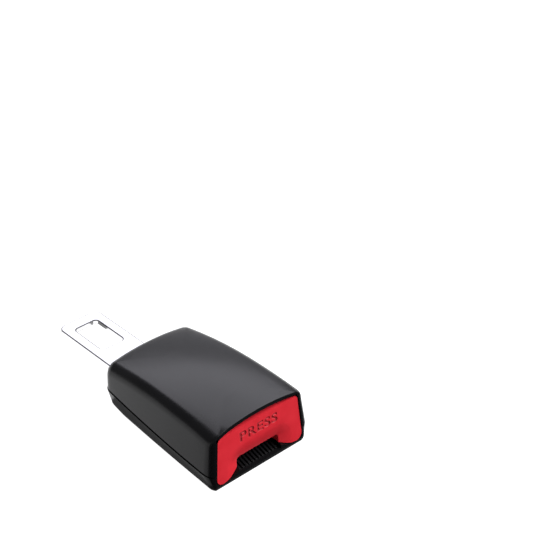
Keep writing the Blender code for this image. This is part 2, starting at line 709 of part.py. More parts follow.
def make_lower_cover(material):
    lip_outer = WALL + LIP_CLEARANCE
    lip_inner = lip_outer + LIP_THICKNESS

    def bottom(x, y):
        return underside(y)

    def floor_top(x, y):
        return underside(y) + FLOOR

    def lip_top(x, y):
        share = min(max((y - FRONT_CORNER_DEPTH) / WALL, 0.0), 1.0)
        return seam(y) + LIP_HEIGHT * share

    def shelf(x, y):
        return seam(y) - SEAM_OPENING / 2

    def fillet_ring(angle):
        inset = HULL_TAPER - SEAM_STEP + BOTTOM_FILLET * (1 - math.cos(angle))
        front = FRONT_LIP_SETBACK + FRONT_BOTTOM_ROUND * (1 - math.cos(angle))
        rise = BOTTOM_FILLET * (1 - math.sin(angle))
        return housing_ring(lambda x, y: underside(y) + rise, seam, inset, front)

    rings = [
        housing_ring(floor_top, seam, lip_inner + 11 * MM, lip_inner + 11 * MM),
        housing_ring(floor_top, seam, lip_inner + BOTTOM_FILLET / 2, lip_inner + BOTTOM_FILLET / 2),
        housing_ring(lambda x, y: floor_top(x, y) + BOTTOM_FILLET / 3, seam,
                     lip_inner + HULL_TAPER / 2, lip_inner + HULL_TAPER / 2),
        housing_ring(lip_top, seam, lip_inner, lip_inner),
        housing_ring(lip_top, seam, lip_outer, lip_outer),
        housing_ring(shelf, seam, lip_outer, lip_outer),
        housing_ring(shelf, seam, -SEAM_STEP, FRONT_LIP_SETBACK),
    ]
    for i in range(FILLET_STEPS + 1):
        rings.append(fillet_ring(math.pi / 2 * i / FILLET_STEPS))
    rings.append(housing_ring(bottom, seam, BOTTOM_FILLET + 12 * MM, BOTTOM_FILLET + 9 * MM))
    cover = loft("lower_cover", rings, spine_cap(floor_top), spine_cap(bottom))

    cut(cover, button_bore("bore_tool", SLIDE_GAP), slot_mouth(FRAME_FRONT))

    ramp_rear_z = FRAME_TOP - SEAT_GAP
    ramp = [
        (2 * FRONT_BOTTOM_ROUND, FLOOR / 2), (RAMP_REAR, FLOOR / 2),
        (RAMP_REAR, ramp_rear_z - RAMP_RIB_HEIGHT), (2 * FRONT_BOTTOM_ROUND, RAMP_LIP - RAMP_RIB_HEIGHT),
    ]
    inner_half = NOTCH_HALF_WIDTH - 2 * SEAT_GAP
    join(cover, plate("ramp", "side", [ramp], -inner_half, inner_half))
    pitch = 2 * (inner_half - RAMP_RIB_WIDTH) / (RAMP_RIB_COUNT - 1)
    rib_front = FRONT_BOTTOM_ROUND
    rib = [(rib_front, FLOOR / 2), (RAMP_REAR - SEAT_GAP, FLOOR / 2), (RAMP_REAR - SEAT_GAP, ramp_rear_z),
           (rib_front, RAMP_LIP + SEAT_GAP)]
    for i in range(RAMP_RIB_COUNT):
        middle = -inner_half + RAMP_RIB_WIDTH + pitch * i
        join(cover, plate("ramp_rib", "side", [rib], middle - RAMP_RIB_WIDTH / 2,
                          middle + RAMP_RIB_WIDTH / 2))

    rib_top = FRAME_BOTTOM - SEAT_GAP
    for side in (-1, 1):
        middle = side * FLOOR_RIB_X
        join(cover, side_block("floor_rib", side, FLOOR_RIB_X - FLOOR_RIB_WIDTH / 2,
                               FLOOR_RIB_X + FLOOR_RIB_WIDTH / 2,
                               (FLOOR_RIB_FRONT, FLOOR_RIB_REAR), (FLOOR / 2, rib_top)))
        for y in (PEG_FRONT_Y, PEG_REAR_Y):
            join(cover, rod("peg_boss", "z", (middle, y, FLOOR / 2), rib_top - SEAT_GAP - FLOOR / 2,
                            2 * PEG_RADIUS, segments=16),
                 rod("peg", "z", (middle, y, FLOOR / 2), FRAME_TOP - SEAT_GAP - FLOOR / 2,
                     PEG_RADIUS, segments=16))
        for y in (HOOK_FRONT_Y, HOOK_REAR_Y):
            join(cover, snap_hook(side, y))
    window_half = TONGUE_WIDTH / 2 + SEAT_GAP
    cut(cover, block("tongue_window_tool",
                     (-window_half, FRAME_REAR + SEAT_GAP, TONGUE_TOP - TONGUE_GAUGE - SEAT_GAP),
                     (window_half, HOUSING_LENGTH + WALL, TONGUE_TOP + SEAT_GAP)))
    return finish(cover, material)


def ramp_height(y):
    """Height of the prong's ramp, which lies under the latch's ear and lifts it."""
    lift = (PIVOT_Y - EAR_Y) * math.sin(math.radians(LATCH_LIFT_DEGREES))
    slope = math.atan2(lift, BUTTON_TRAVEL)
    reach = EAR_RADIUS + SEAT_GAP + (y - EAR_Y) * math.sin(slope)
    return EAR_Z - reach / math.cos(slope)


def make_button(material):
    body = plate("press_button", "front", [button_outline()], BUTTON_RECESS, BUTTON_DEPTH)
    for vertex in body.data.vertices:
        if vertex.co.y < BUTTON_DEPTH / 2:
            vertex.co.y += rake(0.0, vertex.co.z)
    round_edges(body, BUTTON_EDGE, segments=2, angle=60)
    cut(body, scoop("scoop_tool"))
    back_of_face = BUTTON_RECESS + rake(0.0, BUTTON_TOP) + BUTTON_FACE
    open_end = BUTTON_DEPTH + WALL
    hollow_top = BUTTON_TOP - BUTTON_TOP_FALL - BUTTON_WALL
    hollow_side = BUTTON_HALF_WIDTH - BUTTON_WALL
    main = rounded_rectangle((-hollow_side, NOTCH_TOP + BUTTON_WALL),
                             (hollow_side, hollow_top), BUTTON_WALL / 2)
    lobe = rounded_rectangle((LOBE_CUT_X - BUTTON_WALL, LOBE_CUT_Z),
                             (hollow_side, NOTCH_TOP), BUTTON_WALL / 2)
    cut(body, plate("hollow_tool", "front", [main], back_of_face, open_end),
        plate("lobe_tool", "front", [lobe], back_of_face, open_end),
        plate("lobe_tool", "front", [mirrored(lobe)], back_of_face, open_end))

    root_y = back_of_face - BUTTON_FACE / 2
    slot_half = LOCK_BAR_RADIUS + LOCK_SLOT_GAP
    slot_low = (LOCK_BAR_Y, LOCK_BAR_Z)
    slot_high = (LOCK_BAR_Y, LOCK_BAR_Z + LOCK_BAR_RISE)
    arm_rear = LOCK_BAR_Y + slot_half + ARM_REAR_WALL
    prong_end = EAR_Y + EAR_RADIUS
    throat = BUTTON_DEPTH + BUTTON_WALL
    arm = [
        (root_y, ROOT_BOTTOM), (root_y, ARM_TOP - BUTTON_WALL), (BUTTON_DEPTH, ARM_TOP - BUTTON_WALL),
        (throat, ARM_TOP), (arm_rear, ARM_TOP), (arm_rear, ramp_height(arm_rear)),
        (prong_end, ramp_height(prong_end)), (prong_end, ARM_BOTTOM), (throat, ARM_BOTTOM),
        (BUTTON_DEPTH, ROOT_BOTTOM),
    ]
    arm.reverse()
    slot = stadium(slot_low, slot_high, slot_half)
    for side in (-1, 1):
        near, far = sorted((side * ARM_INNER, side * ARM_OUTER))
        join(body, plate("arm", "side", [arm, slot], near, far))
        peg_base = (side * BUTTON_SPRING_X, root_y, BUTTON_SPRING_Z)
        join(body, rod("spring_peg", "y", peg_base, BUTTON_FACE + BUTTON_WALL,
                       SPRING_RADIUS - 2 * SPRING_WIRE, segments=16))
    return finish(body, material, (0.0, BUTTON_DEPTH, LOCK_BAR_Z))


def make_frame(material):
    half = FRAME_OUTER_HALF
    inner = FRAME_INNER_HALF
    outer_bend = arc((half - FRAME_BEND, FRAME_BOTTOM + FRAME_BEND), FRAME_BEND, -90, 0, 4)
    inner_radius = FRAME_BEND - FRAME_GAUGE
    inner_bend = arc((half - FRAME_BEND, FRAME_BOTTOM + FRAME_BEND), inner_radius, 0, -90, 3)
    right = outer_bend + [(half, CHEEK_TOP), (inner, CHEEK_TOP)] + inner_bend
    section = right + mirrored(right)
    frame = plate("latch_frame", "front", [section], FRAME_FRONT, FRAME_REAR)

    low = FRAME_BOTTOM + FRAME_BEND
    high = CHEEK_TOP + WALL
    far = half + WALL
    cheek_relief = [
        (FRAME_FRONT - WALL, low), (CHEEK_FRONT, low), (CHEEK_FRONT, CHEEK_SHOULDER),
        (CHEEK_FRONT + CHEEK_TOP - CHEEK_SHOULDER, high), (FRAME_FRONT - WALL, high),
    ]
    rear_relief = [
        (FRAME_REAR + WALL, low), (FRAME_REAR + WALL, high), (LOCK_BAR_Y + 2 * BUTTON_TRAVEL, high),
        (PIVOT_Y - BARREL_RADIUS, CHEEK_SHOULDER), (CHEEK_REAR, CHEEK_SHOULDER), (CHEEK_REAR, low),
    ]
    cut(frame, plate("front_relief", "side", [cheek_relief], -far, far),
        plate("rear_relief", "side", [rear_relief], -far, far))

    slot_half = LOCK_BAR_RADIUS + LOCK_SLOT_GAP
    start = (LOCK_BAR_Y, LOCK_BAR_Z)
    end = (LOCK_BAR_Y + BUTTON_TRAVEL, LOCK_BAR_Z + LOCK_BAR_RISE)
    ear_gap = 2 * LOCK_SLOT_GAP
    ear_lift = (PIVOT_Y - EAR_Y) * math.sin(math.radians(LATCH_LIFT_DEGREES))
    ear_window = stadium((EAR_Y, EAR_Z), (EAR_Y, EAR_Z + ear_lift), EAR_RADIUS + ear_gap)
    pivot_hole = round_hole((PIVOT_Y, PIVOT_Z), PIVOT_RADIUS + PIVOT_RUNNING_GAP)
    cut(frame, plate("lock_slot_tool", "side", [stadium(start, end, slot_half)], -far, far),
        plate("ear_window_tool", "side", [ear_window], -far, far),
        plate("pivot_tool", "side", [pivot_hole], -far, far))

    window_half = NOSE_HALF_WIDTH + 2 * SEAT_GAP
    slot_width = SPRING_RADIUS + SPRING_WIRE / 2 + SEAT_GAP
    finger = SPRING_FINGER_WIDTH / 2
    spring_slot = [
        (slot_width, KEEL_FRONT - SEAT_GAP), (slot_width, SPRING_SLOT_REAR), (finger, SPRING_SLOT_REAR),
        (finger, SPRING_SLOT_REAR - SPRING_FINGER_LENGTH),
    ]
    below = FRAME_BOTTOM - WALL
    above = FRAME_TOP + WALL
    cut(frame, plate("slot_tool", "plan", [spring_slot + mirrored(spring_slot)], below, above),
        block("nose_window_tool", (-window_half, NOSE_WINDOW_FRONT, below),
              (window_half, NOSE_WINDOW_REAR, above)))
    for side in (-1, 1):
        cut(frame, side_block("lobe_relief_tool", side, NOTCH_HALF_WIDTH - SEAT_GAP, far,
                              (FRAME_FRONT - WALL, BORE_DEPTH), (below, low + WALL)))
        x = side * FLOOR_RIB_X
        for y in (PEG_FRONT_Y, PEG_REAR_Y):
            cut(frame, rod("peg_hole_tool", "z", (x, y, below), above - below,
                           PEG_RADIUS + SEAT_GAP, segments=16))
        cut(frame, rod("rivet_hole_tool", "z", (side * RIVET_X, RIVET_Y, below), above - below,
                       RIVET_SHANK + SEAT_GAP, segments=ROUND_SEGMENTS))
    return finish(frame, material)


def make_tongue(material):
    half = TONGUE_WIDTH / 2
    tip = OVERALL_LENGTH
    outline = ([(-half, TONGUE_TAIL_Y), (half, TONGUE_TAIL_Y)]
               + arc((half - TONGUE_TIP_CORNER, tip - TONGUE_TIP_CORNER), TONGUE_TIP_CORNER, 0, 90, 6)
               + arc((TONGUE_TIP_CORNER - half, tip - TONGUE_TIP_CORNER), TONGUE_TIP_CORNER, 90, 180, 6))
    window_rear = tip - TONGUE_TIP_BAR
    window = rounded_rectangle(
        (-TONGUE_WINDOW_WIDTH / 2, window_rear - TONGUE_WINDOW_LENGTH),
        (TONGUE_WINDOW_WIDTH / 2, window_rear), TONGUE_WINDOW_CORNER, steps=4)
    rivet_holes = [round_hole((side * RIVET_X, RIVET_Y), RIVET_SHANK + SEAT_GAP) for side in (-1, 1)]
    tongue = plate("tongue_plate", "plan", [outline, window] + rivet_holes,
                   TONGUE_TOP - TONGUE_GAUGE, TONGUE_TOP)
    round_edges(tongue, TONGUE_EDGE, segments=2, angle=60)
    return finish(tongue, material)


def make_latch(material):
    arm_bottom = LATCH_ARM_TOP - LATCH_ARM_GAUGE
    nose_rear = NOSE_FRONT + NOSE_LENGTH
    profile = [
        (PIVOT_Y, LATCH_ARM_TOP), (NOSE_FRONT + LATCH_ARM_GAUGE / 2, LATCH_ARM_TOP),
        (NOSE_FRONT, LATCH_ARM_TOP - LATCH_ARM_GAUGE / 2), (NOSE_FRONT, TONGUE_TOP),
        (NOSE_FRONT + NOSE_LENGTH / 2, NOSE_BOTTOM), (nose_rear, NOSE_BOTTOM),
        (nose_rear, arm_bottom - SEAT_GAP), (nose_rear + SEAT_GAP, arm_bottom), (PIVOT_Y, arm_bottom),
    ]
    latch = plate("latch_plate", "side", [profile], -LATCH_ARM_HALF, LATCH_ARM_HALF)
    nose_side = NOSE_HALF_WIDTH
    for side in (-1, 1):
        cut(latch, side_block("nose_side_tool", side, nose_side, LATCH_ARM_HALF + WALL,
                              (NOSE_FRONT - WALL, nose_rear + SEAT_GAP / 2),
                              (NOSE_BOTTOM - WALL, arm_bottom - SEAT_GAP)))
    round_edges(latch, LATCH_EDGE, angle=50)
    barrel_half = FRAME_INNER_HALF - 2 * PIVOT_RUNNING_GAP
    join(latch,
         rod("barrel", "x", (-barrel_half, PIVOT_Y, PIVOT_Z), 2 * barrel_half, BARREL_RADIUS, segments=28),
         rod("ears", "x", (-EAR_REACH, EAR_Y, EAR_Z), 2 * EAR_REACH, EAR_RADIUS, segments=16))
    cut(latch, rod("pivot_tool", "x", (-FRAME_OUTER_HALF, PIVOT_Y, PIVOT_Z), 2 * FRAME_OUTER_HALF,
                   PIVOT_RADIUS + PIVOT_RUNNING_GAP))
    return finish(latch, material, (0.0, PIVOT_Y, PIVOT_Z))


def turned(name, axis_point, profile, material, axis="x"):
    """A turned piece from (distance along the axis, radius) pairs, which start and end on the axis."""
    turn = AXIS_TURN[axis]

    def build(work):
        rows = []
        for along, radius in profile:
            row = []
            for i in range(ROUND_SEGMENTS):
                angle = 2 * math.pi * i / ROUND_SEGMENTS
                place = Vector((radius * math.cos(angle), radius * math.sin(angle), along))
                row.append(work.verts.new(Vector(axis_point) + turn @ place))
            rows.append(row)
        for near, far in zip(rows, rows[1:]):
            for i in range(ROUND_SEGMENTS):
                j = (i + 1) % ROUND_SEGMENTS
                work.faces.new((near[i], near[j], far[j], far[i]))
        work.faces.new(rows[0])
        work.faces.new(rows[-1])

    return finish(add_object(name, mesh_from(name, build)), material)


def make_pivot_pin(material):
    head_start = -(FRAME_OUTER_HALF + SEAT_GAP + PIVOT_HEAD_THICKNESS)
    head_end = -(FRAME_OUTER_HALF + SEAT_GAP)
    groove_start = FRAME_OUTER_HALF + SEAT_GAP
    groove_end = groove_start + CLIP_THICKNESS + SEAT_GAP
    tip = groove_end + CLIP_THICKNESS
    groove = PIVOT_RADIUS - PIVOT_GROOVE_DEPTH
    chamfer = PIVOT_GROOVE_DEPTH / 2
    profile = [
        (head_start, PIVOT_HEAD_RADIUS - chamfer), (head_start + chamfer, PIVOT_HEAD_RADIUS),
        (head_end, PIVOT_HEAD_RADIUS), (head_end, PIVOT_RADIUS), (groove_start, PIVOT_RADIUS),
        (groove_start, groove), (groove_end, groove), (groove_end, PIVOT_RADIUS),
        (tip - chamfer, PIVOT_RADIUS), (tip, PIVOT_RADIUS - chamfer),
    ]
    return turned("pivot_pin", (0.0, PIVOT_Y, PIVOT_Z), profile, material)


def make_pivot_clip(material):
    """An open retaining clip that sits in the pin's groove."""
    hole = PIVOT_RADIUS - PIVOT_GROOVE_DEPTH + SEAT_GAP / 2
    outer = PIVOT_HEAD_RADIUS
    start = FRAME_OUTER_HALF + SEAT_GAP + SEAT_GAP / 2
    outline = arc((PIVOT_Y, PIVOT_Z), outer, -235, 55, 20) + arc((PIVOT_Y, PIVOT_Z), hole, 55, -235, 20)
    clip = plate("pivot_clip", "side", [outline], start, start + CLIP_THICKNESS)
    return finish(clip, material)


def make_lock_bar(material):
    chamfer = LOCK_SLOT_GAP
    profile = [
        (-LOCK_BAR_HALF_LENGTH, LOCK_BAR_RADIUS - chamfer),
        (-LOCK_BAR_HALF_LENGTH + chamfer, LOCK_BAR_RADIUS),
        (LOCK_BAR_HALF_LENGTH - chamfer, LOCK_BAR_RADIUS),
        (LOCK_BAR_HALF_LENGTH, LOCK_BAR_RADIUS - chamfer),
    ]
    place = (0.0, LOCK_BAR_Y, LOCK_BAR_Z)
    bar = turned("lock_bar", place, profile, material)
    return finish(bar, material, place)


def make_ejector(material):
    low = FRAME_TOP + SEAT_GAP
    high = TONGUE_TOP
    outline = [
        (EJECTOR_ARM_INNER, EJECTOR_BODY_FRONT), (EJECTOR_ARM_INNER, EJECTOR_TIP_Y + SEAT_GAP),
        (EJECTOR_ARM_INNER + SEAT_GAP, EJECTOR_TIP_Y), (EJECTOR_HALF_WIDTH - WALL / 2, EJECTOR_TIP_Y),
        (EJECTOR_HALF_WIDTH, EJECTOR_TIP_Y + WALL / 2),
        (EJECTOR_HALF_WIDTH, EJECTOR_BODY_REAR - WALL / 2),
        (EJECTOR_HALF_WIDTH - WALL / 2, EJECTOR_BODY_REAR),
    ]
    ejector = plate("ejector", "plan", [outline + mirrored(outline)], low, high)
    keel_rear = EJECTOR_BODY_REAR - SEAT_GAP
    keel = EJECTOR_KEEL_HALF
    join(ejector,
         block("keel", (-keel, KEEL_FRONT, EJECTOR_KEEL_BOTTOM), (keel, keel_rear, (low + high) / 2)),
         rod("peg", "y", (0.0, KEEL_FRONT + WALL / 2, SPRING_AXIS_Z),
             keel_rear + EJECTOR_PEG_LENGTH - KEEL_FRONT - WALL / 2,
             SPRING_RADIUS - 2 * SPRING_WIRE, segments=12))
    return finish(ejector, material, (0.0, EJECTOR_BODY_REAR, (low + high) / 2))


def wire(name, points, diameter):
    """A round wire along points, with closed ends."""
    curve = bpy.data.curves.new(name, "CURVE")
    curve.dimensions = "3D"
    curve.bevel_depth = diameter / 2
    curve.bevel_resolution = 1
    curve.use_fill_caps = True
    spline = curve.splines.new("POLY")
    spline.points.add(len(points) - 1)
    for point, place in zip(spline.points, points):
        point.co = (*place, 1.0)
    drawn = bpy.data.objects.new(name + "_path", curve)
    PARTS.objects.link(drawn)
    graph = bpy.context.evaluated_depsgraph_get()
    mesh = bpy.data.meshes.new_from_object(drawn.evaluated_get(graph))
    bpy.data.objects.remove(drawn, do_unlink=True)
    work = bmesh.new()
    work.from_mesh(mesh)
    bmesh.ops.remove_doubles(work, verts=work.verts[:], dist=0.0001 * MM)
    bmesh.ops.recalc_face_normals(work, faces=work.faces[:])
    work.to_mesh(mesh)
    work.free()
    mesh.name = name
    mesh.materials.clear()
    return add_object(name, mesh)


def coil_points(start, length, radius, turns, wire_width):
    """A compression spring along +Y, with its end turns wound closer than the rest."""
    steps = turns * COIL_STEPS
    points = []
    for i in range(steps + 1):
        share = i / steps
        eased = share - math.sin(2 * math.pi * share) / (2 * math.pi) * SPRING_END_EASING
        y = start[1] + wire_width / 2 + (length - wire_width) * eased
        angle = 2 * math.pi * i / COIL_STEPS
        points.append((start[0] + radius * math.cos(angle), y, start[2] + radius * math.sin(angle)))
    return points


def make_ejector_spring(material):
    start_y = EJECTOR_BODY_REAR
    end_y = SPRING_SLOT_REAR - SEAT_GAP
    points = coil_points((0.0, start_y, SPRING_AXIS_Z), end_y - start_y, SPRING_RADIUS,
                         EJECTOR_SPRING_TURNS, SPRING_WIRE)
    return finish(wire("ejector_spring", points, SPRING_WIRE), material)


def make_button_spring(side, material):
    name = "button_spring_left" if side < 0 else "button_spring_right"
    start_y = BUTTON_RECESS + rake(0.0, BUTTON_TOP) + BUTTON_FACE + SEAT_GAP
    end_y = CHEEK_FRONT - SEAT_GAP
    points = coil_points((side * BUTTON_SPRING_X, start_y, BUTTON_SPRING_Z), end_y - start_y,
                         SPRING_RADIUS, BUTTON_SPRING_TURNS, SPRING_WIRE)
    return finish(wire(name, points, SPRING_WIRE), material)


def make_latch_spring(material):
    """A torsion spring round the latch's barrel: one leg on the latch, one on the frame's base."""
    radius = BARREL_RADIUS + SEAT_GAP + LATCH_SPRING_WIRE / 2
    pitch = LATCH_SPRING_WIRE + SEAT_GAP
    rest_z = LATCH_ARM_TOP + SEAT_GAP + LATCH_SPRING_WIRE / 2
    foot_z = FRAME_TOP + SEAT_GAP + LATCH_SPRING_WIRE / 2
    leg_start = math.asin((rest_z - PIVOT_Z) / radius)
    first = math.pi - leg_start
    total = 2 * math.pi * LATCH_SPRING_TURNS - first
    steps = LATCH_SPRING_TURNS * COIL_STEPS
    leg_x = LATCH_ARM_HALF - LATCH_SPRING_WIRE
    points = [(leg_x, PIVOT_Y - radius - LATCH_SPRING_LEG, rest_z),
              (leg_x, PIVOT_Y - radius - LATCH_SPRING_WIRE, rest_z)]
    for i in range(steps + 1):
        angle = first - total * i / steps
        x = LATCH_SPRING_X + pitch * LATCH_SPRING_TURNS * i / steps
        points.append((x, PIVOT_Y + radius * math.cos(angle), PIVOT_Z + radius * math.sin(angle)))
    end_x, end_y, end_z = points[-1]
    points.append((end_x, end_y, foot_z))
    return finish(wire("latch_spring", points, LATCH_SPRING_WIRE), material)


def make_rivet(side, material):
    name = "tongue_rivet_left" if side < 0 else "tongue_rivet_right"
    low = FRAME_BOTTOM - SEAT_GAP - RIVET_HEAD_THICKNESS
    washer_top = TONGUE_TOP + SEAT_GAP + WASHER_THICKNESS
    high = washer_top + SEAT_GAP + RIVET_HEAD_THICKNESS
    dome = RIVET_HEAD_THICKNESS / 2
    profile = [
        (low, RIVET_HEAD - dome), (low + dome, RIVET_HEAD), (low + RIVET_HEAD_THICKNESS, RIVET_HEAD),
        (low + RIVET_HEAD_THICKNESS, RIVET_SHANK), (washer_top + SEAT_GAP, RIVET_SHANK),
        (washer_top + SEAT_GAP, RIVET_HEAD), (high - dome, RIVET_HEAD), (high, RIVET_HEAD - 2 * dome),
    ]
    return turned(name, (side * RIVET_X, RIVET_Y, 0.0), profile, material, axis="z")


def make_washer(side, material):
    name = "rivet_washer_left" if side < 0 else "rivet_washer_right"
    place = (side * RIVET_X, RIVET_Y)
    low = TONGUE_TOP + SEAT_GAP
    outer = round_hole(place, WASHER_RADIUS)
    hole = round_hole(place, RIVET_SHANK + SEAT_GAP)
    return finish(plate(name, "plan", [outer, hole], low, low + WASHER_THICKNESS), material)


clear_scene()
PARTS = make_collection("seat_belt_extender")
DATUM = bpy.data.objects.new("datum", None)
DATUM.location = (0.0, -OVERALL_LENGTH / 2, 0.0)
PARTS.objects.link(DATUM)

BLACK_PLASTIC = make_material("charcoal_moulded_plastic", (0.045, 0.045, 0.048), 0.5, 0.0)
RED_PLASTIC = make_material("red_moulded_plastic", (0.62, 0.03, 0.045), 0.35, 0.0)
BRIGHT_STEEL = make_material("polished_plated_steel", (0.8, 0.8, 0.8), 0.12, 1.0)
ZINC_STEEL = make_material("zinc_plated_steel", (0.55, 0.56, 0.58), 0.35, 1.0)
SPRING_STEEL = make_material("spring_wire", (0.4, 0.4, 0.41), 0.3, 1.0)
NATURAL_PLASTIC = make_material("natural_acetal", (0.75, 0.73, 0.68), 0.45, 0.0)

make_upper_cover(BLACK_PLASTIC)
make_lower_cover(BLACK_PLASTIC)
make_button(RED_PLASTIC)
make_frame(ZINC_STEEL)
make_tongue(BRIGHT_STEEL)
make_latch(ZINC_STEEL)
make_pivot_pin(ZINC_STEEL)
make_pivot_clip(SPRING_STEEL)
make_lock_bar(ZINC_STEEL)
make_ejector(NATURAL_PLASTIC)
make_ejector_spring(SPRING_STEEL)
make_latch_spring(SPRING_STEEL)
both_sides(lambda side: make_button_spring(side, SPRING_STEEL))
both_sides(lambda side: make_rivet(side, ZINC_STEEL))
both_sides(lambda side: make_washer(side, ZINC_STEEL))
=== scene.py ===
"""Seat belt extender: a short moulded buckle with a red push button and its own steel tongue."""
import math

import bmesh
import bpy
from mathutils import Matrix, Vector


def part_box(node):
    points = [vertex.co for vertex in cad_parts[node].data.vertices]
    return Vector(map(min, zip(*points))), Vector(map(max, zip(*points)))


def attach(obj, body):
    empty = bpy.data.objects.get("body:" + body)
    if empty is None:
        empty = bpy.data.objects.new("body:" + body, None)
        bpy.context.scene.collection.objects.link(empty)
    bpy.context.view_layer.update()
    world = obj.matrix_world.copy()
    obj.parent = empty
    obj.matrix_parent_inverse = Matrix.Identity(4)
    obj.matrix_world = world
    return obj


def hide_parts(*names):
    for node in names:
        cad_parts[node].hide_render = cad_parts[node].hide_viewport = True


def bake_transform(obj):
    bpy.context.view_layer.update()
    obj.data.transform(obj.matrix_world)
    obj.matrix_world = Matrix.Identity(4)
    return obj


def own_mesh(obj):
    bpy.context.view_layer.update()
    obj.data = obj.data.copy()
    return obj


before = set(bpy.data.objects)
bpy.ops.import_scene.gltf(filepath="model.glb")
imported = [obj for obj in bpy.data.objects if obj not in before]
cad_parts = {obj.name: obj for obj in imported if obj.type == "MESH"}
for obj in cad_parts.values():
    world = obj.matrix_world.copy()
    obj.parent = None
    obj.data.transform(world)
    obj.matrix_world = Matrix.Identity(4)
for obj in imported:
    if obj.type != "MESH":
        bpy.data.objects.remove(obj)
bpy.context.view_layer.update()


# Camera. It stands where the photograph was taken from: to the left of the button end and
# above it, with a long lens. The part lies low and left in the frame, so the aim is beside it.
MM = 0.001
CAMERA_AZIMUTH = -42.85
CAMERA_ELEVATION = 33.17
CAMERA_ROLL = 0.23
CAMERA_DISTANCE = 590.2 * MM
CAMERA_FOCAL_MM = 90.4
SENSOR_MM = 36.0
CAMERA_NEAR = 10.0 * MM
AIM_POINT = Vector((0.0, -11.5 * MM, 12.0 * MM))
AIM_LEFT = 41.91 * MM
AIM_DOWN = 44.48 * MM

scene = bpy.context.scene
scene.view_settings.view_transform = "Standard"

azimuth, elevation, roll = (
    math.radians(angle) for angle in (CAMERA_AZIMUTH, CAMERA_ELEVATION, CAMERA_ROLL))
towards_camera = Vector((math.sin(azimuth) * math.cos(elevation),
                         -math.cos(azimuth) * math.cos(elevation),
                         math.sin(elevation)))
level_right = Vector((math.cos(azimuth), math.sin(azimuth), 0.0))
level_up = towards_camera.cross(level_right)
camera_right = math.cos(roll) * level_right + math.sin(roll) * level_up
camera_up = math.cos(roll) * level_up - math.sin(roll) * level_right
camera_place = (AIM_POINT + camera_right * AIM_LEFT + camera_up * AIM_DOWN
                + towards_camera * CAMERA_DISTANCE)

bpy.ops.object.camera_add(location=camera_place)
camera = bpy.context.object
camera.name = "photograph_camera"
camera.matrix_world = Matrix((
    (camera_right.x, camera_up.x, towards_camera.x, camera_place.x),
    (camera_right.y, camera_up.y, towards_camera.y, camera_place.y),
    (camera_right.z, camera_up.z, towards_camera.z, camera_place.z),
    (0.0, 0.0, 0.0, 1.0)))
camera.data.lens = CAMERA_FOCAL_MM
camera.data.sensor_width = SENSOR_MM
camera.data.clip_start = CAMERA_NEAR
scene.camera = camera


# Floor. A light table under the part, not part of the object: a milky sheet lit from below,
# so that it is white all over and the part throws no shadow on it.
FLOOR_SIZE = 12.0
FLOOR_WHITE = "#8E8E8E"
FLOOR_GLOW = 1.0


def linear(hex_colour):
    """An sRGB hex colour as linear red, green, blue and alpha."""
    channels = []
    for start in (1, 3, 5):
        value = int(hex_colour[start:start + 2], 16) / 255
        channels.append(value / 12.92 if value <= 0.04045 else ((value + 0.055) / 1.055) ** 2.4)
    return (*channels, 1.0)


bpy.ops.object.select_all(action="DESELECT")
bpy.ops.mesh.primitive_plane_add(size=FLOOR_SIZE)
floor = bpy.context.object
floor.name = "light_table"
opal = bpy.data.materials.new("opal acrylic sheet, lit from below")
opal.use_nodes = True
opal_shader = opal.node_tree.nodes["Principled BSDF"]
opal_shader.inputs["Base Color"].default_value = linear(FLOOR_WHITE)
opal_shader.inputs["Roughness"].default_value = 0.9
opal_shader.inputs["Specular IOR Level"].default_value = 0.1
opal_shader.inputs["Emission Color"].default_value = linear("#FFFFFF")
opal_shader.inputs["Emission Strength"].default_value = FLOOR_GLOW
floor.data.materials.append(opal)


# Dark cards. Black velvet lies on the table in front of the button. Grey felt lies under the part
# and round the tongue's tip and glows faintly: it is painted shadow, standing in for the shade that
# the part and the tongue would cast on the table, so that the edges near it mirror something dark.
# The camera doesn't see the cards and they throw no shadow: they only keep the table's white out of
# the gloss.
CARD_WIDTH = 1.2
CARD_DEPTH = 0.6
CARD_LIFT = 0.1 * MM
SHADOW_FELT_GLOW = 0.2
CARD_MARGIN = 1.0 * MM
TIP_SHADE = 35.0 * MM
TIP_REACH = 5.0 * MM
SIDE_SHADE = 14.0 * MM
SIDE_REACH = 2.0 * MM

velvet = bpy.data.materials.new("black velvet card")
velvet.use_nodes = True
velvet_shader = velvet.node_tree.nodes["Principled BSDF"]
velvet_shader.inputs["Base Color"].default_value = linear("#101010")
velvet_shader.inputs["Roughness"].default_value = 1.0
velvet_shader.inputs["Specular IOR Level"].default_value = 0.0

# The felt glows faintly: painted shadow in place of the table's shade under and round the part.
shadow_felt = velvet.copy()
shadow_felt.name = "grey felt, painted shadow on the lit table"
shadow_felt_shader = shadow_felt.node_tree.nodes["Principled BSDF"]
shadow_felt_shader.inputs["Emission Color"].default_value = linear("#FFFFFF")
shadow_felt_shader.inputs["Emission Strength"].default_value = SHADOW_FELT_GLOW

